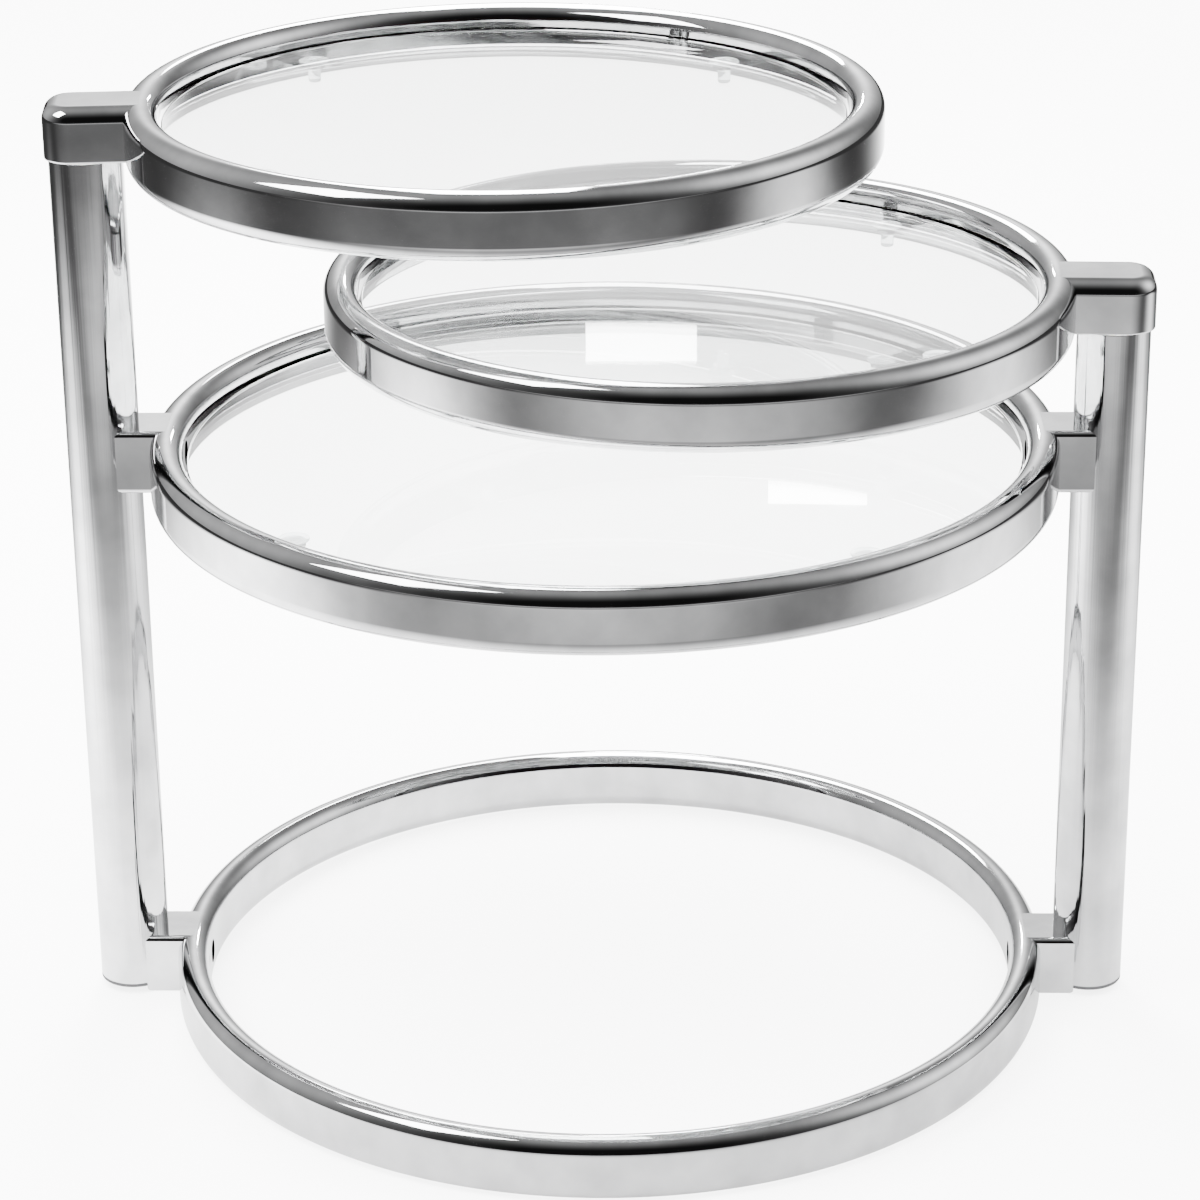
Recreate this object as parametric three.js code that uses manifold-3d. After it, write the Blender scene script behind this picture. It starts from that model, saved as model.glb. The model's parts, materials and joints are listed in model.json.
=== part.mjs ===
// Three-tier swivel side table: chromed tube frame, clear glass discs.
// A base ring and a fixed shelf ring stand between two round posts. A smaller ring swivels on each post.
// Millimetres, +Z up. The origin is on the floor at the centre of the base ring. The posts are on the X axis.
import * as THREE from 'three';
import { mergeVertices } from 'three/addons/utils/BufferGeometryUtils.js';
import Module from 'manifold-3d';

const wasm = await Module();
wasm.setup();

const TOUCH = 0.3; // gap kept between pieces that rest against each other

// Posts: round tube standing a little clear of the floor
const POST_RADIUS = 19;
const POST_WALL = 1.5;
const POST_X = 262;
const POST_FOOT = 6;

// Rings: flat-sided oval tube, bent with its long side upright
const TUBE_WIDTH = 17;
const TUBE_HEIGHT = 34;
const TUBE_ROUND = 8;
const TUBE_WALL = 1.5;
const FIXED_RING_RADIUS = 236;
const SWIVEL_RING_RADIUS = 193;

// Height of each ring's upper edge
const BASE_RIM = TUBE_HEIGHT;
const SHELF_RIM = 327;
const MIDDLE_RIM = 409;
const TOP_RIM = 500;

// Stub blocks that hold the fixed rings to the posts
const STUB_HALF_WIDTH = 17;
const STUB_EDGE = 3;
const SHOULDER_LAP = 3.5; // how far a block laps over the rounded shoulder of the tube

// Arms of the swivel rings
const ARM_HALF_WIDTH = 20.5;
const ARM_HEIGHT = 28.5;
const ARM_CORNER = 14;
const ARM_EDGE = 8;
const ARM_WALL = 3;
const VENT_RADIUS = 4;
const RING_TO_POST = 1; // free gap between a swivel ring and its post
const MIDDLE_SWING = THREE.MathUtils.degToRad(2.1); // both arms stand a little towards the back
const TOP_SWING = THREE.MathUtils.degToRad(4.8);

// Pivot: a pin under each arm runs in two nylon bushes inside the post
const PIN_RADIUS = 7.95;
const BUSH_BORE = 8.05;
const PIN_DROP = 60;
const BUSH_STAND = 0.4; // how far an upper bush stands out of its post
const UPPER_BUSH_LENGTH = 20;
const LOWER_BUSH_LENGTH = 14;
const LOWER_BUSH_DEPTH = 44;

// Bolts through the fixed rings and stubs into threaded inserts in the posts
const BOLT_RADIUS = 4;
const BOLT_HEAD_RADIUS = 6.2;
const BOLT_HEAD_HEIGHT = 5;
const BOLT_SEAT_GAP = 0.8; // the tube wall bends away behind the flat head
const BOLT_SOCKET_RADIUS = 3;
const BOLT_SOCKET_DEPTH = 3;
const ACCESS_HOLE_RADIUS = 6.5;
const INSERT_RADIUS = 5.5;
const INSERT_LENGTH = 13;
const INSERT_SINK = 1; // the face sits just inside the round of the post
const COLLAR_RADIUS = 8.5;
const COLLAR_OFFSET = 4;
const COLLAR_THICKNESS = 2;

// Glass discs
const GLASS_THICKNESS = 5;
const GLASS_DROP = 12;
const GLASS_GAP = 2;

// Tabs inside the rings, and the clear cups that stand on them under the glass
const TAB_THICKNESS = 2;
const TAB_HALF_WIDTH = 6;
const TAB_GAP = 1; // from the square end of a tab to the round of its ring
const TAB_HOLE_RADIUS = 2.8;
const PAD_INSET = 20.5;
const PAD_RADIUS = 8;
const PAD_LIP = 1.8;
const PAD_NECK_RADIUS = 2.5;
const PAD_NUB_RADIUS = 3.4;
const PAD_NUB_HEIGHT = 7.5;
const SHELF_PAD_ANGLE = THREE.MathUtils.degToRad(41);
const MIDDLE_PAD_ANGLE = THREE.MathUtils.degToRad(51);
const TOP_PAD_ANGLE = THREE.MathUtils.degToRad(39);

// Shallow plastic plug in the foot of each post, below the bolt
const PLUG_LENGTH = 2.2;
const PLUG_LIP = 1.5;

// Facets of the round shapes
const FIXED_RING_FACETS = 48;
const SWIVEL_RING_FACETS = 40;
const POST_FACETS = 32;
const SMALL_FACETS = 16;
const PAD_FACETS = 12;

const chrome = new THREE.MeshStandardMaterial({ color: 0xd9dadb, roughness: 0.06, metalness: 1 });
const steel = new THREE.MeshStandardMaterial({ color: 0x8f9194, roughness: 0.35, metalness: 1 });
const nylon = new THREE.MeshStandardMaterial({ color: 0xeeeeea, roughness: 0.5, metalness: 0 });
const blackPlastic = new THREE.MeshStandardMaterial({ color: 0x1c1c1d, roughness: 0.6, metalness: 0 });
const clearVinyl = new THREE.MeshStandardMaterial({
  color: 0xe9ecec, roughness: 0.15, metalness: 0, transparent: true, opacity: 0.5,
});
const glass = new THREE.MeshStandardMaterial({
  color: 0xeef3f2, roughness: 0.02, metalness: 0, transparent: true, opacity: 0.25,
});

// Shares the vertices of a geometry and drops the triangles that close up on an axis.
function weld(geometry) {
  const bare = new THREE.BufferGeometry();
  bare.setAttribute('position', geometry.getAttribute('position'));
  bare.setIndex(geometry.index);
  const merged = mergeVertices(bare, 1e-4);
  const corners = merged.index.array;
  const kept = [];
  for (let i = 0; i < corners.length; i += 3) {
    const [a, b, c] = [corners[i], corners[i + 1], corners[i + 2]];
    if (a !== b && b !== c && c !== a) {
      kept.push(a, b, c);
    }
  }
  merged.setIndex(kept);
  return merged;
}

function toSolid(geometry) {
  const welded = weld(geometry);
  return new wasm.Manifold(new wasm.Mesh({
    numProp: 3,
    vertProperties: new Float32Array(welded.getAttribute('position').array),
    triVerts: new Uint32Array(welded.index.array),
  }));
}

function toGeometry(solid) {
  const { vertProperties, triVerts } = solid.getMesh();
  const geometry = new THREE.BufferGeometry();
  geometry.setAttribute('position', new THREE.BufferAttribute(vertProperties, 3));
  geometry.setIndex(new THREE.BufferAttribute(triVerts, 1));
  geometry.computeVertexNormals();
  return geometry;
}

function cut(body, ...tools) {
  return tools.reduce((left, tool) => left.subtract(tool), body);
}

function piece(name, solid, material) {
  const mesh = new THREE.Mesh(toGeometry(solid), material);
  mesh.name = name;
  return mesh;
}

// Turns an outline of [radius, height] points about +Z.
function turned(outline, facets) {
  const points = outline.map(([radius, height]) => new THREE.Vector2(radius, height));
  return toSolid(new THREE.LatheGeometry(points, facets).rotateX(Math.PI / 2));
}

function closed(outline) {
  return [...outline, outline[0]];
}

function disc(radius, low, high, facets) {
  return turned([[0, low], [radius, low], [radius, high], [0, high]], facets);
}

function tube(outer, inner, low, high, facets) {
  return turned(closed([[inner, low], [outer, low], [outer, high], [inner, high]]), facets);
}

// A round rod along +X between two X positions, at height z.
function rodAlongX(radius, from, to, z, facets = SMALL_FACETS) {
  return disc(radius, from, to, facets).rotate([0, 90, 0]).translate([0, 0, z]);
}

// The tube's section, anticlockwise, as [radius, height] points. Each corner is an arc of `steps` chords.
function tubeSection(outerRadius, rim, inset, steps) {
  const round = TUBE_ROUND - inset;
  const right = outerRadius - TUBE_ROUND;
  const left = outerRadius - TUBE_WIDTH + TUBE_ROUND;
  const low = rim - TUBE_HEIGHT + TUBE_ROUND;
  const high = rim - TUBE_ROUND;
  const corners = [[right, low, -90], [right, high, 0], [left, high, 90], [left, low, 180]];
  const outline = [];
  for (const [x, z, start] of corners) {
    for (let step = 0; step <= steps; step += 1) {
      const angle = THREE.MathUtils.degToRad(start + (90 * step) / steps);
      outline.push([x + round * Math.cos(angle), z + round * Math.sin(angle)]);
    }
  }
  return closed(outline);
}

function hollowRing(radius, rim, facets) {
  const outside = turned(tubeSection(radius, rim, 0, 3), facets);
  const inside = turned(tubeSection(radius, rim, TUBE_WALL, 1), facets);
  return outside.subtract(inside);
}

// The space that a ring takes up, with the resting gap all round.
function ringSpace(radius, rim, facets) {
  return turned(tubeSection(radius, rim, -TOUCH, 3), facets);
}

// Base or shelf ring: an access hole in the inner wall and a bolt hole in the outer wall at each post.
function fixedRing(name, rim) {
  const boltZ = rim - TUBE_HEIGHT / 2;
  const innerWall = FIXED_RING_RADIUS - TUBE_WIDTH;
  const middle = FIXED_RING_RADIUS - TUBE_WIDTH / 2;
  const holes = [1, -1].flatMap((side) => {
    const access = rodAlongX(ACCESS_HOLE_RADIUS, innerWall - TUBE_WIDTH, middle, boltZ);
    const bolt = rodAlongX(BOLT_RADIUS + TOUCH, middle, FIXED_RING_RADIUS + TUBE_WIDTH, boltZ);
    return [access, bolt].map((hole) => (side > 0 ? hole : hole.rotate([0, 0, 180])));
  });
  return piece(name, cut(hollowRing(FIXED_RING_RADIUS, rim, FIXED_RING_FACETS), ...holes), chrome);
}

// A block outline in the YZ plane with rounded upper edges, run along +X.
function stubBlock(from, to, low, high) {
  const outline = new THREE.Shape();
  outline.moveTo(-STUB_HALF_WIDTH, low);
  outline.lineTo(STUB_HALF_WIDTH, low);
  outline.lineTo(STUB_HALF_WIDTH, high - STUB_EDGE);
  outline.absarc(STUB_HALF_WIDTH - STUB_EDGE, high - STUB_EDGE, STUB_EDGE, 0, Math.PI / 2, false);
  outline.lineTo(STUB_EDGE - STUB_HALF_WIDTH, high);
  outline.absarc(STUB_EDGE - STUB_HALF_WIDTH, high - STUB_EDGE, STUB_EDGE, Math.PI / 2, Math.PI, false);
  const settings = { depth: to - from, bevelEnabled: false, curveSegments: 3 };
  const block = new THREE.ExtrudeGeometry(outline, settings);
  block.rotateX(Math.PI / 2).rotateZ(Math.PI / 2).translate(from, 0, 0);
  return toSolid(block);
}

// Stub between a fixed ring and a post, made on the +X side.
function stub(name, rim) {
  const block = stubBlock(FIXED_RING_RADIUS - SHOULDER_LAP, POST_X, rim - TUBE_HEIGHT, rim);
  const postSpace = disc(POST_RADIUS + TOUCH, 0, TOP_RIM, POST_FACETS).translate([POST_X, 0, 0]);
  const bore = rodAlongX(BOLT_RADIUS + TOUCH, 0, POST_X, rim - TUBE_HEIGHT / 2);
  const ring = ringSpace(FIXED_RING_RADIUS, rim, FIXED_RING_FACETS);
  return piece(name, cut(block, ring, postSpace, bore), chrome);
}

// Socket-head bolt inside the ring's tube, pointing at the post.
function bolt(name, rim) {
  const seat = FIXED_RING_RADIUS - TUBE_WALL - BOLT_SEAT_GAP;
  const headEnd = seat - BOLT_HEAD_HEIGHT;
  const tip = POST_X - POST_RADIUS + INSERT_LENGTH - COLLAR_OFFSET;
  const outline = [
    [0, headEnd + BOLT_SOCKET_DEPTH],
    [BOLT_SOCKET_RADIUS, headEnd + BOLT_SOCKET_DEPTH],
    [BOLT_SOCKET_RADIUS, headEnd],
    [BOLT_HEAD_RADIUS, headEnd],
    [BOLT_HEAD_RADIUS, seat],
    [BOLT_RADIUS, seat],
    [BOLT_RADIUS, tip],
    [0, tip],
  ];
  const shape = turned(outline, SMALL_FACETS).rotate([0, 90, 0]);
  return piece(name, shape.translate([0, 0, rim - TUBE_HEIGHT / 2]), steel);
}

// Threaded insert clenched in the post's wall. The collar grips the inside of the tube.
function insert(name, rim) {
  const mouth = POST_X - POST_RADIUS + INSERT_SINK;
  const bore = BOLT_RADIUS + TOUCH;
  const collar = mouth + COLLAR_OFFSET;
  const outline = closed([
    [bore, mouth],
    [INSERT_RADIUS, mouth],
    [INSERT_RADIUS, collar],
    [COLLAR_RADIUS, collar],
    [COLLAR_RADIUS, collar + COLLAR_THICKNESS],
    [INSERT_RADIUS, collar + COLLAR_THICKNESS],
    [INSERT_RADIUS, mouth + INSERT_LENGTH],
    [bore, mouth + INSERT_LENGTH],
  ]);
  const shape = turned(outline, SMALL_FACETS).rotate([0, 90, 0]);
  return piece(name, shape.translate([0, 0, rim - TUBE_HEIGHT / 2]), steel);
}

function armBottom(rim) {
  return rim - ARM_HEIGHT;
}

function postTop(rim) {
  return armBottom(rim) - TOUCH - BUSH_STAND;
}

// Post tube about its own axis. Its insert holes face -X.
function post(name, swivelRim) {
  const shell = tube(POST_RADIUS, POST_RADIUS - POST_WALL, POST_FOOT, postTop(swivelRim), POST_FACETS);
  const holes = [BASE_RIM, SHELF_RIM].map((rim) => (
    rodAlongX(INSERT_RADIUS + TOUCH, -2 * POST_RADIUS, 0, rim - TUBE_HEIGHT / 2)
  ));
  return piece(name, cut(shell, ...holes), chrome);
}

function footPlug(name) {
  const body = POST_RADIUS - POST_WALL - TOUCH;
  const lip = POST_FOOT - TOUCH;
  const outline = [
    [0, lip - PLUG_LIP],
    [POST_RADIUS, lip - PLUG_LIP],
    [POST_RADIUS, lip],
    [body, lip],
    [body, lip + PLUG_LENGTH],
    [0, lip + PLUG_LENGTH],
  ];
  return piece(name, turned(outline, POST_FACETS), blackPlastic);
}

// A plain bush inside the post, round the pivot pin.
function bush(name, low, high) {
  return piece(name, tube(POST_RADIUS - POST_WALL - TOUCH, BUSH_BORE, low, high, POST_FACETS), nylon);
}

// Upper bush: its top face carries the arm.
function upperBush(name, swivelRim) {
  const high = postTop(swivelRim) + BUSH_STAND;
  return bush(name, high - UPPER_BUSH_LENGTH, high);
}

function lowerBush(name, swivelRim) {
  const high = postTop(swivelRim) - LOWER_BUSH_DEPTH;
  return bush(name, high - LOWER_BUSH_LENGTH, high);
}

// Distance from a post's axis to the centre of the ring that swivels on it
const SWIVEL_REACH = POST_RADIUS + RING_TO_POST + SWIVEL_RING_RADIUS;

// Plan outline of the arm: a rounded outer end, and an inner end that runs into the ring.
function armOutline(inset) {
  const half = ARM_HALF_WIDTH - inset;
  const corner = ARM_CORNER - inset;
  const inner = SWIVEL_REACH - SWIVEL_RING_RADIUS + SHOULDER_LAP;
  const outline = new THREE.Shape();
  outline.moveTo(inner, -half);
  outline.lineTo(inner, half);
  outline.lineTo(corner - half, half);
  outline.absarc(corner - half, half - corner, corner, Math.PI / 2, Math.PI, false);
  outline.lineTo(-half, corner - half);
  outline.absarc(corner - half, corner - half, corner, Math.PI, 1.5 * Math.PI, false);
  return outline;
}

function slab(outline, low, high, bevel = {}) {
  const settings = { bevelEnabled: false, curveSegments: 4, ...bevel };
  const block = new THREE.ExtrudeGeometry(outline, { depth: high - low, ...settings });
  return toSolid(block.translate(0, 0, low));
}

// Arm: a hollow box over the post, open where it is welded to the ring. Its top edges are rounded.
function arm(name, rim) {
  const low = armBottom(rim);
  const waist = rim - ARM_HEIGHT / 2;
  const bevel = { bevelEnabled: true, bevelThickness: ARM_EDGE, bevelSize: ARM_EDGE, bevelSegments: 2 };
  const skirt = slab(armOutline(0), low, waist);
  const crown = slab(armOutline(ARM_EDGE), waist - ARM_WALL, rim - ARM_EDGE, bevel);
  const hollow = slab(armOutline(ARM_WALL), low + ARM_WALL, rim - ARM_WALL - ARM_EDGE / 2);
  const pinHole = disc(PIN_RADIUS + TOUCH, low - ARM_WALL, rim - ARM_HEIGHT / 2, POST_FACETS);
  const ring = ringSpace(SWIVEL_RING_RADIUS, rim, SWIVEL_RING_FACETS).translate([SWIVEL_REACH, 0, 0]);
  return piece(name, cut(skirt.add(crown), hollow, pinHole, ring), chrome);
}

function pivotPin(name, rim) {
  const high = rim - ARM_WALL - ARM_EDGE / 2 - TOUCH;
  return piece(name, disc(PIN_RADIUS, armBottom(rim) - PIN_DROP, high, POST_FACETS), steel);
}

// Swivel ring: a vent through the outer wall opens the tube into the hollow arm.
function swivelRing(name, rim) {
  const vent = rodAlongX(VENT_RADIUS, -SWIVEL_RING_RADIUS - TUBE_WIDTH, -SWIVEL_RING_RADIUS + TUBE_WIDTH / 2,
    rim - ARM_HEIGHT / 2);
  const ring = hollowRing(SWIVEL_RING_RADIUS, rim, SWIVEL_RING_FACETS).subtract(vent);
  return piece(name, ring, chrome);
}

function glassDisc(name, ringRadius, rim, facets) {
  const high = rim - GLASS_DROP;
  return piece(name, disc(ringRadius - TUBE_WIDTH - GLASS_GAP, high - GLASS_THICKNESS, high, facets), glass);
}

// The pad hangs from the underside of the glass, and its neck passes through the tab.
function padTop(rim) {
  return rim - GLASS_DROP - GLASS_THICKNESS - TOUCH;
}

function tabTop(rim) {
  return padTop(rim) - PAD_LIP - TOUCH;
}

// Tab: a flat tongue with a round end, from the ring's inner wall to the pad, along +X.
function tab(name, ringRadius, rim) {
  const end = ringRadius - TUBE_WIDTH - TAB_GAP;
  const padCentre = ringRadius - TUBE_WIDTH - PAD_INSET;
  const outline = new THREE.Shape();
  outline.moveTo(end, -TAB_HALF_WIDTH);
  outline.lineTo(end, TAB_HALF_WIDTH);
  outline.lineTo(padCentre, TAB_HALF_WIDTH);
  outline.absarc(padCentre, 0, TAB_HALF_WIDTH, Math.PI / 2, 1.5 * Math.PI, false);
  outline.holes.push(new THREE.Path().absarc(padCentre, 0, TAB_HOLE_RADIUS, 0, 2 * Math.PI, true));
  return piece(name, slab(outline, tabTop(rim) - TAB_THICKNESS, tabTop(rim)), chrome);
}

function pad(name, rim) {
  const high = padTop(rim);
  const lip = high - PAD_LIP;
  const nub = tabTop(rim) - TAB_THICKNESS - TOUCH;
  const outline = [
    [0, nub - PAD_NUB_HEIGHT],
    [PAD_NUB_RADIUS, nub - PAD_NUB_HEIGHT],
    [PAD_NUB_RADIUS, nub],
    [PAD_NECK_RADIUS, nub],
    [PAD_NECK_RADIUS, lip],
    [PAD_RADIUS, lip],
    [PAD_RADIUS, high],
    [0, high],
  ];
  return piece(name, turned(outline, PAD_FACETS), clearVinyl);
}

// Glass with its four tabs and pads, about the ring's own centre.
function glassTier(name, ringRadius, rim, facets, firstAngle) {
  const tier = new THREE.Group();
  tier.add(glassDisc(`${name}_glass`, ringRadius, rim, facets));
  const padCentre = ringRadius - TUBE_WIDTH - PAD_INSET;
  for (let count = 0; count < 4; count += 1) {
    const spoke = new THREE.Group();
    const holder = pad(`${name}_pad_${count + 1}`, rim);
    holder.position.x = padCentre;
    spoke.add(tab(`${name}_tab_${count + 1}`, ringRadius, rim), holder);
    spoke.rotation.z = firstAngle + (count * Math.PI) / 2;
    tier.add(spoke);
  }
  return tier;
}

// A ring on its arm, turned about the axis of the post on the given side (-1 left, 1 right).
function swivelTier(name, side, rim, swing, firstAngle) {
  const tier = new THREE.Group();
  tier.position.x = side * POST_X;
  tier.rotation.z = side < 0 ? swing : Math.PI - swing;
  tier.add(arm(`${name}_arm`, rim), pivotPin(`${name}_pivot_pin`, rim));
  const tray = glassTier(name, SWIVEL_RING_RADIUS, rim, SWIVEL_RING_FACETS, firstAngle);
  tray.add(swivelRing(`${name}_ring`, rim));
  tray.position.x = SWIVEL_REACH;
  tier.add(tray);
  return tier;
}

// Everything about one post that doesn't swivel. The group is turned half round for the left post.
function postSet(sideName, side, swivelRim) {
  const set = new THREE.Group();
  set.rotation.z = side < 0 ? Math.PI : 0;
  const column = new THREE.Group();
  column.position.x = POST_X;
  column.add(
    post(`post_${sideName}`, swivelRim),
    footPlug(`foot_plug_${sideName}`),
    upperBush(`upper_bush_${sideName}`, swivelRim),
    lowerBush(`lower_bush_${sideName}`, swivelRim),
  );
  set.add(column);
  for (const [level, rim] of [['base', BASE_RIM], ['shelf', SHELF_RIM]]) {
    set.add(
      stub(`${level}_stub_${sideName}`, rim),
      bolt(`${level}_bolt_${sideName}`, rim),
      insert(`${level}_insert_${sideName}`, rim),
    );
  }
  return set;
}

const table = new THREE.Group();
table.add(
  fixedRing('base_ring', BASE_RIM),
  fixedRing('shelf_ring', SHELF_RIM),
  glassTier('shelf', FIXED_RING_RADIUS, SHELF_RIM, FIXED_RING_FACETS, SHELF_PAD_ANGLE),
  postSet('left', -1, TOP_RIM),
  postSet('right', 1, MIDDLE_RIM),
  swivelTier('middle', 1, MIDDLE_RIM, MIDDLE_SWING, MIDDLE_PAD_ANGLE),
  swivelTier('top', -1, TOP_RIM, TOP_SWING, TOP_PAD_ANGLE),
);

export default table;
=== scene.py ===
import json
import math
import bpy
from mathutils import Matrix, Vector


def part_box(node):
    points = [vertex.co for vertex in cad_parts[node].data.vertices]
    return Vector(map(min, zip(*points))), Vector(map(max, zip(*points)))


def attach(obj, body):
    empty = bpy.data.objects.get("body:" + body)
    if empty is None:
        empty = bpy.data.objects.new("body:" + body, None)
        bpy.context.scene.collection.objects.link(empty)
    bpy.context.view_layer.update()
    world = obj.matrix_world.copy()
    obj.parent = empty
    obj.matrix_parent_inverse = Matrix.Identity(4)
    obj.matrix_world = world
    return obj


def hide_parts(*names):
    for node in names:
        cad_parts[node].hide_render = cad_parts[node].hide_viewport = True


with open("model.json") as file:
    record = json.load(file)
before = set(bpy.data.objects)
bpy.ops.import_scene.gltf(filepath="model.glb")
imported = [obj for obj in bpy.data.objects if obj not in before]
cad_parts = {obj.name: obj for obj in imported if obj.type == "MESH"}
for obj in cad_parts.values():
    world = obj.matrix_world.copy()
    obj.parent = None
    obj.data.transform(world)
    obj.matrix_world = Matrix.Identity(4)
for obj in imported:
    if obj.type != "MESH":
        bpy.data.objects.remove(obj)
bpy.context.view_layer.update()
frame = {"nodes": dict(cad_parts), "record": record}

# Sizes that the frame's boxes don't give, in metres
TUBE_WIDTH = 0.017
TUBE_WALL = 0.0015
ACCESS_HOLE = 0.0065
BOLT_HOLE = 0.0043
VENT_HOLE = 0.004
SINK = 0.0003  # how far a welded piece runs into its neighbour
ARM_HALF_WIDTH = 0.0205
ARM_CORNER = 0.014
ARM_TOP_EDGE = 0.008
ARM_LOWER_EDGE = 0.0012
STUB_EDGE = 0.003
RIM_EDGE = 0.0004
GLASS_EDGE = 0.0009
BUSH_PLAY = 0.0001  # from a pin to its bush, all round
TAB_HALF_WIDTH = 0.006
TAB_CORNER = 0.999 * TAB_HALF_WIDTH  # a full round would bring its two corners to one point
TAB_EDGE = 0.0003
SWIVEL_TIERS = {"middle": "right", "top": "left"}

# The clear cups under the glass. The neck and the nub are parts of the cup's radius.
PADS_PER_TIER = 4
PAD_LIP = 0.0008
PAD_EDGE = 0.0003
PAD_NECK = 0.3125
PAD_NUB = 0.43
NUB_LOWER_EDGE = 0.0012
NUB_UPPER_EDGE = 0.0008

# Fineness of the round shapes
RING_TURNS = 360
POST_TURNS = 128
SMALL_TURNS = 48
WALL_STEPS = 4
WINDOW_STEPS = 3
BEND_STEPS = 24
BORE_STEPS = BEND_STEPS // 3
EDGE_STEPS = 4
BLOCK_EDGE_STEPS = 6
BLOCK_END_STEPS = 12
TAB_EDGE_STEPS = 2

SAME_PLACE = 1e-9


# ---------------------------------------------------------------- outlines
# An outline is a list of runs. A run is a list of (x, z, normal x, normal z) points, and each run starts
# where the one before it ends. Outlines go anticlockwise, so the normal is on the right of the way.
# A point of corners() may have a rounding of its own as its third number.

def run(start, end, steps=1):
    """A straight run."""
    dx, dz = end[0] - start[0], end[1] - start[1]
    length = math.hypot(dx, dz)
    normal = (dz / length, -dx / length)
    return [(start[0] + dx * i / steps, start[1] + dz * i / steps, *normal) for i in range(steps + 1)]


def bend(x, z, radius, first, last, steps):
    """An arc about (x, z) between two angles in degrees."""
    points = []
    for i in range(steps + 1):
        angle = math.radians(first + (last - first) * i / steps)
        cos, sin = math.cos(angle), math.sin(angle)
        points.append((x + radius * cos, z + radius * sin, cos, sin))
    return points


def reverse(outline):
    """The same outline as the wall of a hollow."""
    return [[(x, z, -nx, -nz) for x, z, nx, nz in reversed(part)] for part in reversed(outline)]


def corners(points, edge):
    """A closed outline through (x, z) points, with every corner rounded by edge where there is one."""
    outline = []
    count = len(points)
    for i, (x, z, *own) in enumerate(points):
        before, after = Vector(points[i - 1][:2]), Vector(points[(i + 1) % count][:2])
        here = Vector((x, z))
        size = own[0] if own else edge
        back, on = (before - here).normalized(), (after - here).normalized()
        if size == 0:
            outline.append((here, here, None))
            continue
        half = back.angle(on) / 2
        reach = size / math.tan(half)
        middle = here + (back + on).normalized() * (size / math.sin(half))
        outline.append((here + back * reach, here + on * reach, (middle, size)))
    runs = []
    for i, (start, end, arc) in enumerate(outline):
        if arc:
            middle, size = arc
            first, last = start - middle, end - middle
            convex = first.x * last.y - first.y * last.x > 0
            begin = math.degrees(math.atan2(first.y, first.x))
            sweep = math.degrees(math.acos(max(-1, min(1, first.dot(last) / size ** 2))))
            end_angle = begin + (sweep if convex else -sweep)
            points_on = bend(middle.x, middle.y, size, begin, end_angle, EDGE_STEPS)
            runs.append(points_on if convex else [(a, b, -c, -d) for a, b, c, d in points_on])
        following = outline[(i + 1) % count][0]
        if (following - end).length > SAME_PLACE:
            runs.append(run(tuple(end), tuple(following)))
    return runs


# ---------------------------------------------------------------- skins

class Skin:
    """Vertices, faces, and the true surface normal at every corner of every face."""

    def __init__(self):
        self.points = []
        self.faces = []
        self.normals = []

    def add(self, x, y, z):
        self.points.append((x, y, z))
        return len(self.points) - 1

    def face(self, corners, normals):
        kept = [i for i, corner in enumerate(corners) if corner not in corners[:i]]
        if len(kept) > 2:
            self.faces.append([corners[i] for i in kept])
            self.normals.extend(normals[i] for i in kept)

    def build(self, name, material, body, slot, nodes, place):
        mesh = bpy.data.meshes.new(name)
        mesh.from_pydata(self.points, [], self.faces)
        mesh.normals_split_custom_set([Vector(normal).normalized() for normal in self.normals])
        mesh.materials.append(material)
        mesh.transform(place)
        piece = bpy.data.objects.new(name, mesh)
        bpy.context.scene.collection.objects.link(piece)
        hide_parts(*nodes)
        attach(piece, body)
        return piece


def revolve(skin, outline, turns, skipped=None):
    """Turns an outline about the Z axis. Returns the vertex at (run, step, turn).
    skipped(run, turn) says which faces are left out."""
    index = {}
    closed = math.dist(outline[-1][-1][:2], outline[0][0][:2]) < SAME_PLACE
    for r, part in enumerate(outline):
        for s, (x, z, _, _) in enumerate(part):
            if s == 0 and r > 0:
                index[r, s] = index[r - 1, len(outline[r - 1]) - 1]
            elif closed and r == len(outline) - 1 and s == len(part) - 1:
                index[r, s] = index[0, 0]
            elif x < SAME_PLACE:
                index[r, s] = [skin.add(0, 0, z)] * turns
            else:
                index[r, s] = [
                    skin.add(x * math.cos(math.tau * k / turns), x * math.sin(math.tau * k / turns), z)
                    for k in range(turns)
                ]
    for r, part in enumerate(outline):
        for s in range(len(part) - 1):
            low, high = index[r, s], index[r, s + 1]
            for k in range(turns):
                if skipped and skipped(r, k):
                    continue
                on = (k + 1) % turns
                places = [(low[k], s, k), (low[on], s, k + 1), (high[on], s + 1, k + 1), (high[k], s + 1, k)]
                normals = []
                for _, step, turn in places:
                    angle = math.tau * turn / turns
                    _, _, nx, nz = part[step]
                    normals.append((nx * math.cos(angle), nx * math.sin(angle), nz))
                skin.face([place[0] for place in places], normals)
    return index


def stadium(outer, low, high, width, inset, steps):
    """Section of the flat-sided oval tube. Runs: outer wall, crown, inner wall, underside."""
    radius = width / 2 - inset
    middle = outer - width / 2
    bottom, top = low + width / 2, high - width / 2
    right, left = outer - inset, outer - width + inset
    return [
        run((right, bottom), (right, top), WALL_STEPS),
        bend(middle, top, radius, 0, 180, steps),
        run((left, top), (left, bottom), WALL_STEPS),
        bend(middle, bottom, radius, 180, 360, steps),
    ]


OUTER_WALL, INNER_WALL = 0, 2


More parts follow.
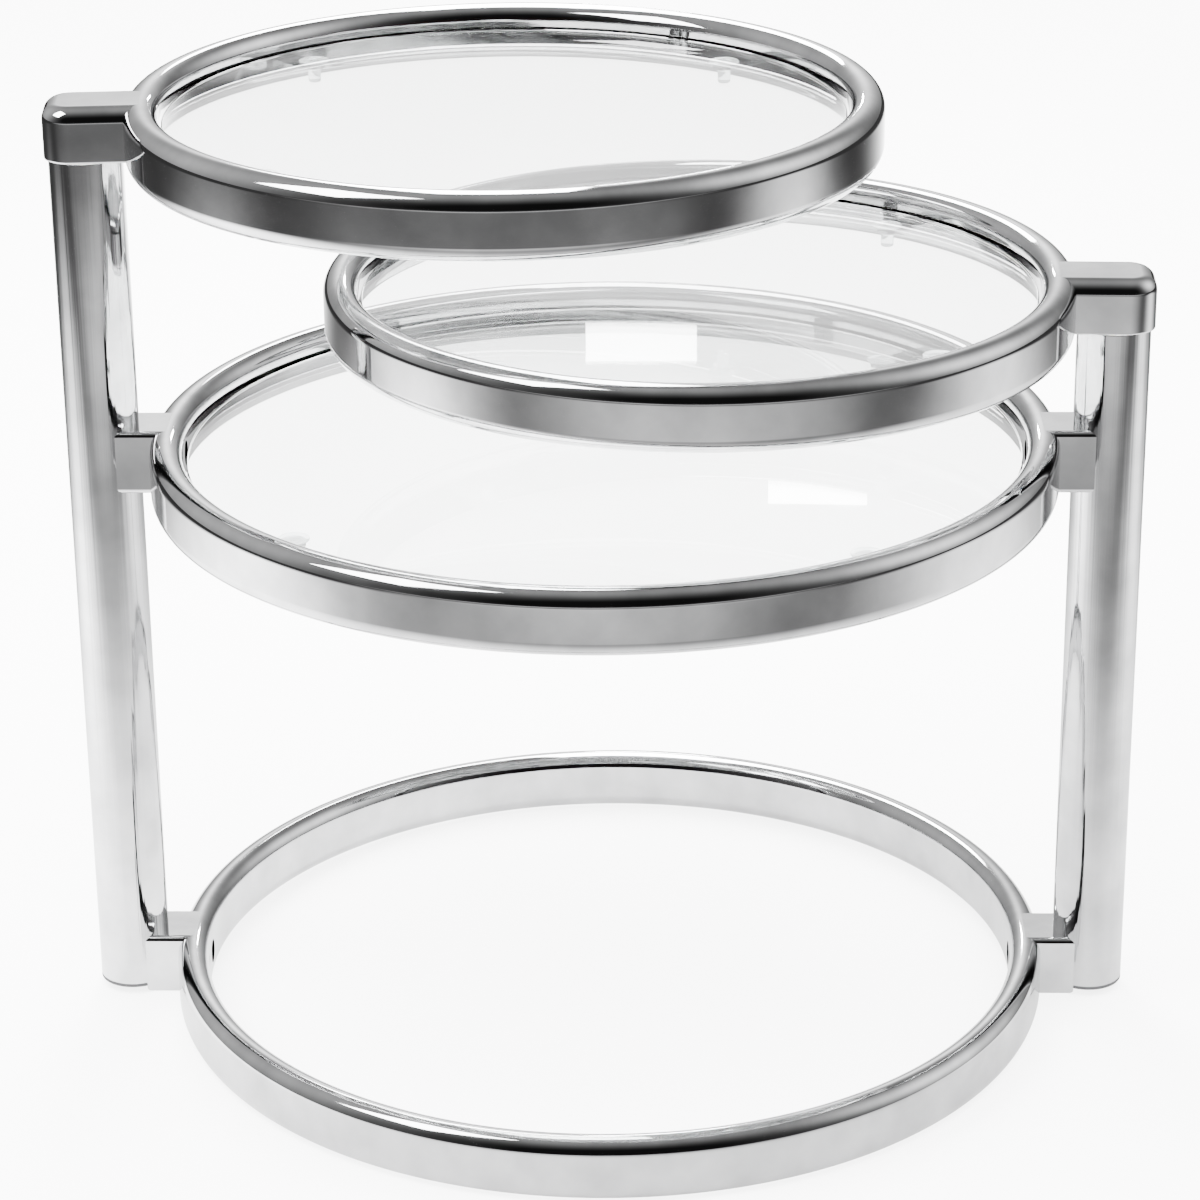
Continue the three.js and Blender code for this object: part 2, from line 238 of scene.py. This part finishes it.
def window_edge(skin, index, section, wall, turn, turns, size):
    """Closes the wall round a round hole. Returns the hole's vertices and which way each lies."""
    part = section[wall]
    radius = part[0][0]
    middle = (part[0][1] + part[-1][1]) / 2
    side = part[0][2]
    last = len(part) - 1
    first_turn, last_turn = turn - WINDOW_STEPS, turn + WINDOW_STEPS
    edge = [(0, k) for k in range(first_turn, last_turn)]
    edge += [(s, last_turn) for s in range(last)]
    edge += [(last, k) for k in range(last_turn, first_turn, -1)]
    edge += [(s, first_turn) for s in range(last, 0, -1)]
    outside, hole, ways = [], [], []
    for s, k in edge:
        across = radius * math.tau * (k - turn) / turns
        up = part[s][1] - middle
        length = math.hypot(across, up)
        ways.append((across / length, up / length))
        angle = math.tau * turn / turns + size * across / length / radius
        corner = skin.add(radius * math.cos(angle), radius * math.sin(angle), middle + size * up / length)
        hole.append((corner, angle))
        outside.append((index[wall, s][k % turns], math.tau * k / turns))
    for i in range(len(edge)):
        j = (i + 1) % len(edge)
        four = [outside[i], outside[j], hole[j], hole[i]]
        skin.face([p for p, _ in four], [(side * math.cos(a), side * math.sin(a), 0) for _, a in four])
    return [p for p, _ in hole], ways


def hollow_ring(radius, low, high, windows):
    """Tube bent to a circle about Z. windows are (wall, turn, size) round holes in it."""
    skin = Skin()
    outer = stadium(radius, low, high, TUBE_WIDTH, 0, BEND_STEPS)
    inner = stadium(radius, low, high, TUBE_WIDTH, TUBE_WALL, BORE_STEPS)

    def in_window(wall, turn):
        return any(
            wall == w and (turn - t + WINDOW_STEPS) % RING_TURNS < 2 * WINDOW_STEPS for w, t, _ in windows
        )

    hollow = reverse(inner)
    outside = revolve(skin, outer, RING_TURNS, in_window)
    # Reversed, the outer wall is the last run and the inner wall is the second.
    swap = {OUTER_WALL: 3, INNER_WALL: 1}
    inside = revolve(skin, hollow, RING_TURNS, lambda wall, turn: any(
        in_window(w, turn) and wall == swap[w] for w in swap
    ))
    for wall, turn, size in windows:
        rim, ways = window_edge(skin, outside, outer, wall, turn, RING_TURNS, size)
        back, back_ways = window_edge(skin, inside, hollow, swap[wall], turn, RING_TURNS, size)
        # The hollow's wall is walked the other way up, so its hole is matched by direction.
        order = [
            min(range(len(back)), key=lambda j: math.dist(back_ways[j], way)) for way in ways
        ]
        angle = math.tau * turn / RING_TURNS
        for i in range(len(rim)):
            j = (i + 1) % len(rim)
            normals = []
            for c in (i, j, j, i):
                across, up = ways[c]
                normals.append((across * math.sin(angle), -across * math.cos(angle), -up))
            skin.face([rim[i], rim[j], back[order[j]], back[order[i]]], normals)
    return skin


def block(path, low, high, lower_edge, top_edge, steps=BLOCK_EDGE_STEPS):
    """An upright block. path is (points, end_x): an open plan of (x, y, normal x, normal y) points, and
    end_x(y), which says where its open end lies."""
    points, end_x = path
    profile = bend(-lower_edge, low + lower_edge, lower_edge, -90, 0, steps)
    profile += bend(-top_edge, high - top_edge, top_edge, 0, 90, 2 * steps)
    skin = Skin()
    columns = []
    for i, (x, y, nx, ny) in enumerate(points):
        column = []
        for out, z, _, _ in profile:
            px, py = x + nx * out, y + ny * out
            if i in (0, len(points) - 1):
                px = end_x(py)
            column.append(skin.add(px, py, z))
        columns.append(column)
    for i in range(len(points) - 1):
        for j in range(len(profile) - 1):
            places = [(i, j), (i + 1, j), (i + 1, j + 1), (i, j + 1)]
            normals = []
            for c, p in places:
                _, _, nx, ny = points[c]
                _, _, out, up = profile[p]
                normals.append((nx * out, ny * out, up))
            skin.face([columns[c][p] for c, p in places], normals)
    ends = {}
    for level in (0, -1):
        first, last = skin.points[columns[0][level]], skin.points[columns[-1][level]]
        across = first[1] - last[1]
        ways_over = [last[1] + across * k / BLOCK_END_STEPS for k in range(1, BLOCK_END_STEPS)]
        ends[level] = [skin.add(end_x(y), y, first[2]) for y in ways_over]
    top = [column[-1] for column in columns] + ends[-1]
    bottom = [column[0] for column in columns] + ends[0]
    skin.face(top, [(0, 0, 1)] * len(top))
    skin.face(bottom[::-1], [(0, 0, -1)] * len(bottom))
    wall = columns[0] + ends[-1][::-1] + columns[-1][::-1] + ends[0]
    skin.face(wall, [(1, 0, 0)] * len(wall))
    return skin


def u_path(inner_x, outer_x, half, corner, end_x):
    """Plan of a tongue from +X to -X and back, with two rounded corners."""
    points = [(inner_x, half, 0, 1)]
    points += bend(outer_x + corner, half - corner, corner, 90, 180, BLOCK_END_STEPS)
    points += bend(outer_x + corner, corner - half, corner, 180, 270, BLOCK_END_STEPS)
    points.append((inner_x, -half, 0, -1))
    return points, end_x


def stub_skin(half, low, high, edge, near_x, far_x):
    """A block along X with four rounded edges. near_x(y) and far_x(y) give its two saddle ends."""
    loop = []
    for y, z, first in ((1, -1, -90), (1, 1, 0), (-1, 1, 90), (-1, -1, 180)):
        centre_y = y * (half - edge)
        centre_z = high - edge if z > 0 else low + edge
        loop += bend(centre_y, centre_z, edge, first, first + 90, BLOCK_EDGE_STEPS)
    skin = Skin()
    near = [skin.add(near_x(y), y, z) for y, z, _, _ in loop]
    far = [skin.add(far_x(y), y, z) for y, z, _, _ in loop]
    for i in range(len(loop)):
        j = (i + 1) % len(loop)
        normals = [(0, loop[c][2], loop[c][3]) for c in (i, j, j, i)]
        skin.face([near[i], near[j], far[j], far[i]], normals)
    skin.face(far, [(1, 0, 0)] * len(far))
    skin.face(near[::-1], [(-1, 0, 0)] * len(near))
    return skin


def turned(outline, turns):
    skin = Skin()
    revolve(skin, outline, turns)
    return skin


# ---------------------------------------------------------------- materials

def node(tree, kind, **inputs):
    made = tree.nodes.new(kind)
    for name, value in inputs.items():
        made.inputs[name.replace("_", " ")].default_value = value
    return made


EVEN = (1, 1, 1)
NOISE_LOW, NOISE_HIGH = 0.35, 0.7  # where nearly all of a noise lies


def surface(name, values, roughness, tint, bump=()):
    """Principled material. roughness is (low, high, scale) of a noise, tint is (dark, light, scale) of a
    colour noise, and bump is a list of (scale, stretch, height, strength) noises."""
    material = bpy.data.materials.new(name)
    material.use_nodes = True
    tree = material.node_tree
    shader = next(n for n in tree.nodes if n.type == "BSDF_PRINCIPLED")
    for socket, value in values.items():
        shader.inputs[socket].default_value = value
    place = tree.nodes.new("ShaderNodeTexCoord")

    def noise(scale, detail=4.0, stretch=EVEN):
        fit = node(tree, "ShaderNodeMapping", Scale=stretch)
        tree.links.new(place.outputs["Object"], fit.inputs["Vector"])
        made = node(tree, "ShaderNodeTexNoise", Scale=scale, Detail=detail)
        tree.links.new(fit.outputs["Vector"], made.inputs["Vector"])
        return made

    low, high, scale = roughness
    spread = node(tree, "ShaderNodeMapRange", To_Min=low, To_Max=high)
    spread.inputs["From Min"].default_value = NOISE_LOW
    spread.inputs["From Max"].default_value = NOISE_HIGH
    tree.links.new(noise(scale).outputs["Fac"], spread.inputs["Value"])
    tree.links.new(spread.outputs["Result"], shader.inputs["Roughness"])
    dark, light, scale = tint
    mix = tree.nodes.new("ShaderNodeMix")
    mix.data_type = "RGBA"
    mix.inputs["A"].default_value = (*dark, 1)
    mix.inputs["B"].default_value = (*light, 1)
    tree.links.new(noise(scale, detail=5.0).outputs["Fac"], mix.inputs["Factor"])
    tree.links.new(mix.outputs["Result"], shader.inputs["Base Color"])
    previous = None
    for scale, stretch, height, strength in bump:
        relief = node(tree, "ShaderNodeBump", Strength=strength, Distance=height)
        tree.links.new(noise(scale, detail=2.0, stretch=stretch).outputs["Fac"], relief.inputs["Height"])
        if previous:
            tree.links.new(previous.outputs["Normal"], relief.inputs["Normal"])
        previous = relief
    if previous:
        tree.links.new(previous.outputs["Normal"], shader.inputs["Normal"])
    return material


PLATE = {"Metallic": 1.0, "IOR": 2.5}
PLATE_TINT = ((0.34, 0.342, 0.347), (0.76, 0.762, 0.768), 42.0)
PLATE_WAVES = (16.0, EVEN, 0.0012, 0.06)
DRAWN_STREAKS = (300.0, (1, 1, 0.006), 0.0004, 0.6)  # stretched along the post

CHROME = surface(
    "chrome_plate",
    PLATE,
    roughness=(0.015, 0.09, 45.0),
    tint=PLATE_TINT,
    bump=[PLATE_WAVES, (260.0, EVEN, 0.0002, 0.02)],
)
CHROME_DRAWN = surface(
    "drawn_chrome_plate",
    PLATE,
    roughness=(0.02, 0.10, 45.0),
    tint=PLATE_TINT,
    bump=[PLATE_WAVES, DRAWN_STREAKS],
)
STEEL = surface(
    "zinc_steel",
    {"Metallic": 1.0},
    roughness=(0.28, 0.45, 300.0),
    bump=[(700.0, EVEN, 0.0001, 0.3)],
    tint=((0.34, 0.35, 0.36), (0.52, 0.53, 0.54), 120.0),
)
NYLON = surface(
    "nylon",
    {"Subsurface Weight": 0.15},
    roughness=(0.4, 0.55, 400.0),
    bump=[(900.0, EVEN, 0.00005, 0.3)],
    tint=((0.74, 0.74, 0.70), (0.86, 0.86, 0.83), 60.0),
)
BLACK_PLASTIC = surface(
    "black_plastic",
    {},
    roughness=(0.45, 0.65, 500.0),
    bump=[(1600.0, EVEN, 0.0001, 0.5)],
    tint=((0.018, 0.018, 0.019), (0.035, 0.035, 0.037), 80.0),
)
VINYL = surface(
    "clear_vinyl",
    {"Transmission Weight": 0.82, "IOR": 1.5},
    roughness=(0.05, 0.12, 250.0),
    bump=[(300.0, EVEN, 0.0001, 0.15)],
    tint=((0.86, 0.89, 0.89), (0.95, 0.97, 0.97), 90.0),
)
GLASS = surface(
    "clear_glass",
    {"Transmission Weight": 1.0, "IOR": 1.5},
    roughness=(0.0, 0.012, 14.0),
    bump=[(5.0, EVEN, 0.0006, 0.03)],
    tint=((0.72, 0.73, 0.728), (0.78, 0.79, 0.788), 7.0),
)
FINISHES = {
    "chrome": CHROME,
    "steel": STEEL,
    "nylon": NYLON,
    "black_plastic": BLACK_PLASTIC,
    "clear_vinyl": VINYL,
    "glass": GLASS,
}


# ---------------------------------------------------------------- measures from the frame

def middle_of(node_name):
    low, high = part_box(node_name)
    return (low + high) / 2


def reach(node_name, centre):
    """The farthest that a node gets from the upright line through centre."""
    return max(
        math.hypot(v.co.x - centre.x, v.co.y - centre.y) for v in frame["nodes"][node_name].data.vertices
    )


def at(point, angle=0.0):
    return Matrix.Translation((point.x, point.y, 0)) @ Matrix.Rotation(angle, 4, "Z")


def angle_to(start, end):
    return math.atan2(end.y - start.y, end.x - start.x)


# ---------------------------------------------------------------- rings

HALF_TURN = RING_TURNS // 2

for name in ("base_ring", "shelf_ring"):
    low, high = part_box(name)
    centre = middle_of(name)
    windows = [(INNER_WALL, turn, ACCESS_HOLE) for turn in (0, HALF_TURN)]
    windows += [(OUTER_WALL, turn, BOLT_HOLE) for turn in (0, HALF_TURN)]
    skin = hollow_ring(reach(name, centre), low.z, high.z, windows)
    skin.build(f"{name}_tube", CHROME, "frame", "chrome", [name], at(centre))

for tier, side in SWIVEL_TIERS.items():
    name = f"{tier}_ring"
    low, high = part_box(name)
    centre, post = middle_of(name), middle_of(f"post_{side}")
    radius = reach(name, centre)
    skin = hollow_ring(radius, low.z, high.z, [(OUTER_WALL, 0, VENT_HOLE)])
    skin.build(f"{name}_tube", CHROME, f"{tier}_tier", "chrome", [name], at(centre, angle_to(centre, post)))

    # The arm runs from behind the post to the crest of the ring's tube.
    distance = math.hypot(centre.x - post.x, centre.y - post.y)
    arm_low, arm_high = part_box(f"{tier}_arm")
    crest = radius - TUBE_WIDTH / 2

    def crest_x(y, distance=distance, crest=crest):
        return distance - math.sqrt(crest ** 2 - y ** 2)

    path = u_path(crest_x(ARM_HALF_WIDTH), -ARM_HALF_WIDTH, ARM_HALF_WIDTH, ARM_CORNER, crest_x)
    skin = block(path, arm_low.z, arm_high.z, ARM_LOWER_EDGE, ARM_TOP_EDGE)
    place = at(post, angle_to(post, centre))
    skin.build(f"{tier}_arm_shell", CHROME, f"{tier}_tier", "chrome", [f"{tier}_arm"], place)


# ---------------------------------------------------------------- posts, stubs, bushes and plugs

for side in ("left", "right"):
    name = f"post_{side}"
    low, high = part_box(name)
    post = middle_of(name)
    radius = reach(name, post)
    bore = radius - TUBE_WALL
    tube = corners([(bore, low.z), (radius, low.z), (radius, high.z), (bore, high.z)], RIM_EDGE)
    turned(tube, POST_TURNS).build(f"{name}_tube", CHROME_DRAWN, "frame", "chrome", [name], at(post))

    for level in ("base", "shelf"):
        ring = middle_of(f"{level}_ring")
        crest = reach(f"{level}_ring", ring) - TUBE_WIDTH / 2
        distance = abs(post.x - ring.x)
        stub_low, stub_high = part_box(f"{level}_stub_{side}")
        half = (stub_high.y - stub_low.y) / 2
        skin = stub_skin(
            half, stub_low.z, stub_high.z, STUB_EDGE,
            lambda y, crest=crest: math.sqrt(crest ** 2 - y ** 2),
            lambda y, distance=distance, radius=radius: distance + SINK - math.sqrt(radius ** 2 - y ** 2),
        )
        skin.build(
            f"{level}_stub_{side}_block", CHROME, "frame", "chrome", [f"{level}_stub_{side}"],
            at(ring, angle_to(ring, post)),
        )

    low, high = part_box(f"upper_bush_{side}")
    tier = next(t for t, s in SWIVEL_TIERS.items() if s == side)
    pin = middle_of(f"{tier}_pivot_pin")
    hole = reach(f"{tier}_pivot_pin", pin) + BUSH_PLAY
    inner = bore - SINK
    bush = corners([(hole, low.z), (inner, low.z), (inner, high.z), (hole, high.z)], RIM_EDGE)
    turned(bush, POST_TURNS).build(
        f"upper_bush_{side}_turned", NYLON, "frame", "nylon", [f"upper_bush_{side}"], at(post)
    )

    low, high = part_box(f"foot_plug_{side}")
    post_low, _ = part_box(name)
    seat = post_low.z - SINK
    outline = corners([
        (0, low.z, 0), (radius, low.z), (radius, seat), (inner, seat, 0), (inner, high.z), (0, high.z, 0),
    ], RIM_EDGE)[:-1]
    turned(outline, POST_TURNS).build(
        f"foot_plug_{side}_turned", BLACK_PLASTIC, "frame", "black_plastic", [f"foot_plug_{side}"], at(post)
    )


# ---------------------------------------------------------------- glass, tabs and pads

for tier, body in (("shelf", "frame"), ("middle", "middle_tier"), ("top", "top_tier")):
    name = f"{tier}_glass"
    low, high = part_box(name)
    centre = middle_of(name)
    radius = reach(name, centre)
    outline = corners([(0, low.z, 0), (radius, low.z), (radius, high.z), (0, high.z, 0)], GLASS_EDGE)[:-1]
    disc = turned(outline, RING_TURNS).build(f"{name}_disc", GLASS, body, "glass", [name], at(centre))
    disc.visible_shadow = False

    inner_wall = reach(f"{tier}_ring", middle_of(f"{tier}_ring")) - TUBE_WIDTH
    for count in range(1, PADS_PER_TIER + 1):
        pad_name, tab_name = f"{tier}_pad_{count}", f"{tier}_tab_{count}"
        pad_low, pad_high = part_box(pad_name)
        tab_low, tab_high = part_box(tab_name)
        pad = middle_of(pad_name)
        spread = math.hypot(pad.x - centre.x, pad.y - centre.y)

        def wall_x(y, inner_wall=inner_wall, spread=spread):
            return math.sqrt((inner_wall + SINK) ** 2 - y ** 2) - spread

        path = u_path(wall_x(TAB_HALF_WIDTH), -TAB_HALF_WIDTH, TAB_HALF_WIDTH, TAB_CORNER, wall_x)
        block(path, tab_low.z, tab_high.z, TAB_EDGE, TAB_EDGE, TAB_EDGE_STEPS).build(
            f"{tab_name}_tongue", CHROME, body, "chrome", [tab_name], at(pad, angle_to(centre, pad))
        )
        wide = reach(pad_name, pad)
        neck, nub = wide * PAD_NECK, wide * PAD_NUB
        outline = corners([
            (0, pad_low.z, 0),
            (nub, pad_low.z, NUB_LOWER_EDGE),
            (nub, tab_low.z - SINK, NUB_UPPER_EDGE),
            (neck, tab_low.z - SINK),
            (neck, tab_high.z + SINK),
            (wide, pad_high.z - PAD_LIP),
            (wide, pad_high.z),
            (0, pad_high.z, 0),
        ], PAD_EDGE)[:-1]
        turned(outline, SMALL_TURNS).build(f"{pad_name}_cup", VINYL, body, "clear_vinyl", [pad_name], at(pad))

# The hidden fittings keep their CAD shape.
for subpart in frame["record"]["subparts"]:
    shown = frame["nodes"][subpart["node"]]
    if not shown.hide_render:
        shown.data.materials.clear()
        shown.data.materials.append(FINISHES[subpart["material_slot"]])


# ---------------------------------------------------------------- stage

FLOOR_SIZE = 40.0
PAINTED_SHADE_HEIGHT = 0.0008  # just clear of the floor


def plane(name, height, material):
    mesh = bpy.data.meshes.new(name)
    half = FLOOR_SIZE / 2
    outline = [(-half, -half, height), (half, -half, height), (half, half, height), (-half, half, height)]
    mesh.from_pydata(outline, [], [(0, 1, 2, 3)])
    mesh.materials.append(material)
    piece = bpy.data.objects.new(name, mesh)
    bpy.context.scene.collection.objects.link(piece)
    return piece


def math_node(tree, operation, first, second=None):
    """A Math node. first and second are sockets or numbers."""
    made = tree.nodes.new("ShaderNodeMath")
    made.operation = operation
    for slot_number, value in enumerate((first, second)):
        if value is None:
            continue
        if isinstance(value, (int, float)):
            made.inputs[slot_number].default_value = value
        else:
            tree.links.new(value, made.inputs[slot_number])
    return made.outputs[0]


PAPER = surface(
    "floor_paper", {"Specular IOR Level": 0.0}, roughness=(0.85, 0.95, 4.0),
    tint=((0.89, 0.89, 0.89), (0.91, 0.91, 0.91), 1.5),
)
plane("floor", 0.0, PAPER)


def vector_math(tree, operation, first, second):
    """A Vector Math node. first is a socket, second is three numbers or a socket."""
    made = tree.nodes.new("ShaderNodeVectorMath")
    made.operation = operation
    tree.links.new(first, made.inputs[0])
    if isinstance(second, tuple):
        made.inputs[1].default_value = second
    else:
        tree.links.new(second, made.inputs[1])
    return made.outputs["Value" if operation == "DOT_PRODUCT" else "Vector"]


def total(tree, sockets):
    """The sum of number sockets."""
    whole = sockets[0]
    for socket in sockets[1:]:
        whole = math_node(tree, "ADD", whole, socket)
    return whole


def pool(tree, point, centre, size, level):
    """level at centre, fading out smoothly over size."""
    apart = vector_math(tree, "SUBTRACT", point, (*centre, 0.0))
    scaled = vector_math(tree, "DIVIDE", apart, (*size, 1.0))
    squared = vector_math(tree, "DOT_PRODUCT", scaled, scaled)
    fade = math_node(tree, "EXPONENT", math_node(tree, "MULTIPLY", squared, -1.0))
    return math_node(tree, "MULTIPLY", fade, level)


# Painted shade on the floor's mirror image: pools where more of the pale floor shows in the chrome, and
# darkness elsewhere. (x, y) centre, (x, y) size, level
PAINTED_FLOOR_SHADE = (
    ((-0.10, 0.0), (0.40, 0.50), 0.155),
    ((-0.80, 0.0), (0.60, 0.41), 0.64),
    ((0.90, 0.10), (1.20, 0.42), 0.335),
    ((0.0, -1.14), (0.90, 0.36), 0.118),
    ((0.05, 1.70), (0.62, 0.52), 0.95),
    ((0.0, -3.1), (4.0, 0.95), 0.09),
)
PAINTED_SHADE_REST = 0.006


def painted_shade_material():
    """Paints pools of light and darker shade onto the floor's mirror image, as in a small studio, on a sheet
    seen only in reflections. The floor itself stays pale.
    """
    material = bpy.data.materials.new("floor_painted_shade")
    material.use_nodes = True
    tree = material.node_tree
    tree.nodes.clear()
    point = tree.nodes.new("ShaderNodeTexCoord").outputs["Object"]
    level = total(tree, [pool(tree, point, *each) for each in PAINTED_FLOOR_SHADE])
    level = math_node(tree, "MINIMUM", math_node(tree, "ADD", level, PAINTED_SHADE_REST), 1.0)
    sieve = tree.nodes.new("ShaderNodeBsdfTransparent")
    tree.links.new(level, sieve.inputs["Color"])
    out = tree.nodes.new("ShaderNodeOutputMaterial")
    tree.links.new(sieve.outputs["BSDF"], out.inputs["Surface"])
    return material


# A sheet just above the floor, seen only by reflected rays, that paints shade onto the floor's mirror image
painted_shade_sheet = plane("floor_painted_shade", PAINTED_SHADE_HEIGHT, painted_shade_material())
for kind in ("camera", "diffuse", "transmission", "shadow", "volume_scatter"):
    setattr(painted_shade_sheet, f"visible_{kind}", False)


def direction(azimuth, elevation):
    """The unit vector at an azimuth from +Y towards +X and an elevation, in degrees."""
    azimuth, elevation = math.radians(azimuth), math.radians(elevation)
    return Vector((
        math.sin(azimuth) * math.cos(elevation), math.cos(azimuth) * math.cos(elevation), math.sin(elevation),
    ))


def area_light(name, place, width, length, radiance):
    """A soft box that faces the object."""
    data = bpy.data.lights.new(name, "AREA")
    data.shape = "RECTANGLE"
    data.size, data.size_y = width, length
    data.energy = radiance * math.pi * width * length
    lamp = bpy.data.objects.new(name, data)
    turn = (TARGET - place).to_track_quat("-Z", "Y").to_matrix().to_4x4()
    lamp.matrix_world = Matrix.Translation(place) @ turn
    lamp.visible_camera = False
    bpy.context.scene.collection.objects.link(lamp)
    return lamp


TARGET = Vector((0, 0, 0.3))
BOX_DISTANCE = 1.7
area_light("back_box", TARGET + BOX_DISTANCE * direction(-9, 50), 0.42, 1.35, 8)
area_light("left_box", TARGET + BOX_DISTANCE * direction(-115, 51), 0.75, 0.90, 5.5)

# Two small windows behind the object, each seen as a bright patch in one glass. The right one is far
# off, so that its patch falls on the shelf's glass alone, and only rays that leave a glass meet it.
area_light("left_window", Vector((-0.004, 1.56, 0.782)), 0.105, 0.042, 40)
right_window = area_light("right_window", Vector((0.7545, 18.66, 7.375)), 0.57, 0.222, 26)
right_window.visible_glossy = False
right_window.visible_diffuse = False

# An even light that fills in the floor and the plastic
ROOM_LIGHT_ENERGY = 8.5
ROOM_LIGHT_SPREAD = math.radians(120)

sun_data = bpy.data.lights.new("room_light", "SUN")
sun_data.energy = ROOM_LIGHT_ENERGY
sun_data.angle = ROOM_LIGHT_SPREAD
sun_data.use_shadow = False
sun = bpy.data.objects.new("room_light", sun_data)
sun.visible_glossy = False
sun.visible_transmission = False
bpy.context.scene.collection.objects.link(sun)

# The room round the object: (azimuth, elevation), sharpness, level
ROOM_GLOWS = (
    ((180, 25), 1.5, -0.15),
    ((0, 90), 6.0, 0.35),
    ((80, 28), 11.0, 2.6),
    ((-65, 26), 4.5, 0.75),
    ((0, 17), 18.0, 1.3),
    ((-4, 23), 70.0, 2.5),
)
ROOM_REST = 0.13
ROOM_DARKEST = 0.012
ROOM_STRENGTH = 0.25

# All the lights are two stops low and the exposure makes up for it, since Cycles clamps bright
# indirect light.
EXPOSURE = 2.0
bpy.context.scene.view_settings.exposure = EXPOSURE

world = bpy.data.worlds.new("studio")
bpy.context.scene.world = world
world.use_nodes = True
tree = world.node_tree
tree.nodes.clear()
way = tree.nodes.new("ShaderNodeTexCoord").outputs["Generated"]
glows = []
for (azimuth, elevation), sharpness, level in ROOM_GLOWS:
    nearness = vector_math(tree, "DOT_PRODUCT", way, tuple(direction(azimuth, elevation)))
    apart = math_node(tree, "MULTIPLY", math_node(tree, "SUBTRACT", nearness, 1.0), sharpness)
    glows.append(math_node(tree, "MULTIPLY", math_node(tree, "EXPONENT", apart), level))
level = math_node(tree, "MAXIMUM", math_node(tree, "ADD", total(tree, glows), ROOM_REST), ROOM_DARKEST)
room = node(tree, "ShaderNodeBackground", Strength=ROOM_STRENGTH)
tree.links.new(level, room.inputs["Color"])
out = tree.nodes.new("ShaderNodeOutputWorld")
tree.links.new(room.outputs["Background"], out.inputs["Surface"])


# ---------------------------------------------------------------- camera

EYE = Vector((0.0471, -1.8595, 0.9926))
YAW, PITCH, ROLL = (math.radians(a) for a in (-1.5516, 22.379, -0.573))
FOCAL_IN_WIDTHS = 3.16304
SENSOR_WIDTH = 36.0

forward = Vector((math.sin(YAW) * math.cos(PITCH), math.cos(YAW) * math.cos(PITCH), -math.sin(PITCH)))
right = Vector((math.cos(YAW), -math.sin(YAW), 0))
up = right.cross(forward)
right, up = (
    math.cos(ROLL) * right + math.sin(ROLL) * up,
    math.cos(ROLL) * up - math.sin(ROLL) * right,
)
camera_data = bpy.data.cameras.new("camera")
camera_data.sensor_width = SENSOR_WIDTH
camera_data.lens = FOCAL_IN_WIDTHS * SENSOR_WIDTH
camera = bpy.data.objects.new("camera", camera_data)
camera.matrix_world = Matrix.Translation(EYE) @ Matrix((right, up, -forward)).transposed().to_4x4()
bpy.context.scene.collection.objects.link(camera)
bpy.context.scene.camera = camera
